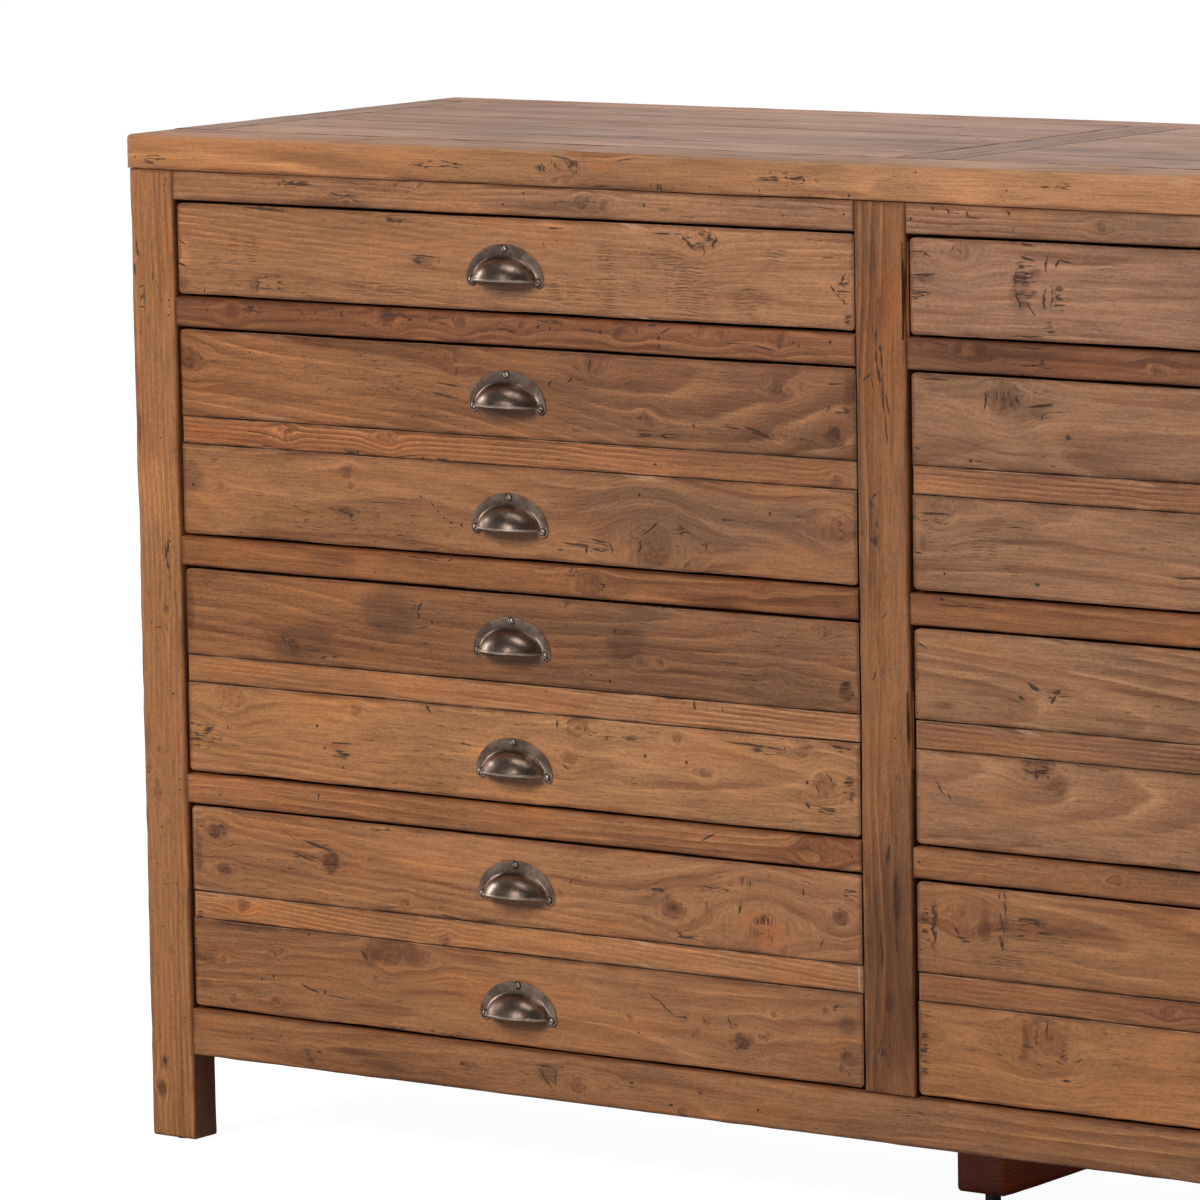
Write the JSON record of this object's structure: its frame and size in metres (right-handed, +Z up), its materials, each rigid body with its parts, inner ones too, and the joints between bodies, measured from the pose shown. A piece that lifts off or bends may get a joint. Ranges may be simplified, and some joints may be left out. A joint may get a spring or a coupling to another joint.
{
  "type": "chest of drawers",
  "caption": "Floor-standing storage cabinet in reclaimed pine: side-by-side columns of drawers with metal cup pulls in a post-and-rail case on short legs.",
  "frame": {"origin": "on the floor, midway between the sides and midway between the front of the cup pulls and the back of the case", "axes": "+X to the right seen from the front, +Y to the back, +Z up"},
  "size_m": [1.7846, 0.551, 1.0026],
  "materials": {
    "pine_case": "waxed reclaimed pine, satin",
    "pine_top": "waxed reclaimed pine, worn",
    "pine_front": "waxed reclaimed pine, knotty",
    "pine_inside": "bare pine",
    "pull_metal": "burnished antique pewter",
    "glide": "matt"
  },
  "bodies": {
    "case": {"back_muntin": "pine_case", "back_panels": "pine_inside", "back_posts": "pine_case", "back_rails": "pine_case", "bottom_front_rail": "pine_case", "centre_bearer": "pine_inside", "drawer_guides": "pine_inside", "drawer_rails": "pine_case", "drawer_runners": "pine_inside", "floor_panel": "pine_inside", "foot_glides": "glide", "front_posts": "pine_case", "middle_stile": "pine_case", "partition": "pine_inside", "side_panels": "pine_case", "side_rails": "pine_case", "top_cross_boards": "pine_top", "top_field_boards": "pine_top", "top_front_rails": "pine_case", "top_long_boards": "pine_top"},
    "left_drawer_one": {"left_drawer_one_back": "pine_inside", "left_drawer_one_bottom": "pine_inside", "left_drawer_one_front": "pine_front", "left_drawer_one_pulls": "pull_metal", "left_drawer_one_sides": "pine_inside"},
    "left_drawer_two": {"left_drawer_two_back": "pine_inside", "left_drawer_two_bottom": "pine_inside", "left_drawer_two_front": "pine_front", "left_drawer_two_pulls": "pull_metal", "left_drawer_two_sides": "pine_inside"},
    "left_drawer_three": {"left_drawer_three_back": "pine_inside", "left_drawer_three_bottom": "pine_inside", "left_drawer_three_front": "pine_front", "left_drawer_three_pulls": "pull_metal", "left_drawer_three_sides": "pine_inside"},
    "left_drawer_four": {"left_drawer_four_back": "pine_inside", "left_drawer_four_bottom": "pine_inside", "left_drawer_four_front": "pine_front", "left_drawer_four_pulls": "pull_metal", "left_drawer_four_sides": "pine_inside"},
    "right_drawer_one": {"right_drawer_one_back": "pine_inside", "right_drawer_one_bottom": "pine_inside", "right_drawer_one_front": "pine_front", "right_drawer_one_pulls": "pull_metal", "right_drawer_one_sides": "pine_inside"},
    "right_drawer_two": {"right_drawer_two_back": "pine_inside", "right_drawer_two_bottom": "pine_inside", "right_drawer_two_front": "pine_front", "right_drawer_two_pulls": "pull_metal", "right_drawer_two_sides": "pine_inside"},
    "right_drawer_three": {"right_drawer_three_back": "pine_inside", "right_drawer_three_bottom": "pine_inside", "right_drawer_three_front": "pine_front", "right_drawer_three_pulls": "pull_metal", "right_drawer_three_sides": "pine_inside"},
    "right_drawer_four": {"right_drawer_four_back": "pine_inside", "right_drawer_four_bottom": "pine_inside", "right_drawer_four_front": "pine_front", "right_drawer_four_pulls": "pull_metal", "right_drawer_four_sides": "pine_inside"}
  },
  "joints": [
    {"name": "left_drawer_one_slide", "type": "slide", "parent": "case", "child": "left_drawer_one", "axis": [0, -1, 0], "range_m": [0, 0.38]},
    {"name": "left_drawer_two_slide", "type": "slide", "parent": "case", "child": "left_drawer_two", "axis": [0, -1, 0], "range_m": [0, 0.38]},
    {"name": "left_drawer_three_slide", "type": "slide", "parent": "case", "child": "left_drawer_three", "axis": [0, -1, 0], "range_m": [0, 0.38]},
    {"name": "left_drawer_four_slide", "type": "slide", "parent": "case", "child": "left_drawer_four", "axis": [0, -1, 0], "range_m": [0, 0.38]},
    {"name": "right_drawer_one_slide", "type": "slide", "parent": "case", "child": "right_drawer_one", "axis": [0, -1, 0], "range_m": [0, 0.38]},
    {"name": "right_drawer_two_slide", "type": "slide", "parent": "case", "child": "right_drawer_two", "axis": [0, -1, 0], "range_m": [0, 0.38]},
    {"name": "right_drawer_three_slide", "type": "slide", "parent": "case", "child": "right_drawer_three", "axis": [0, -1, 0], "range_m": [0, 0.38]},
    {"name": "right_drawer_four_slide", "type": "slide", "parent": "case", "child": "right_drawer_four", "axis": [0, -1, 0], "range_m": [0, 0.38]}
  ]
}
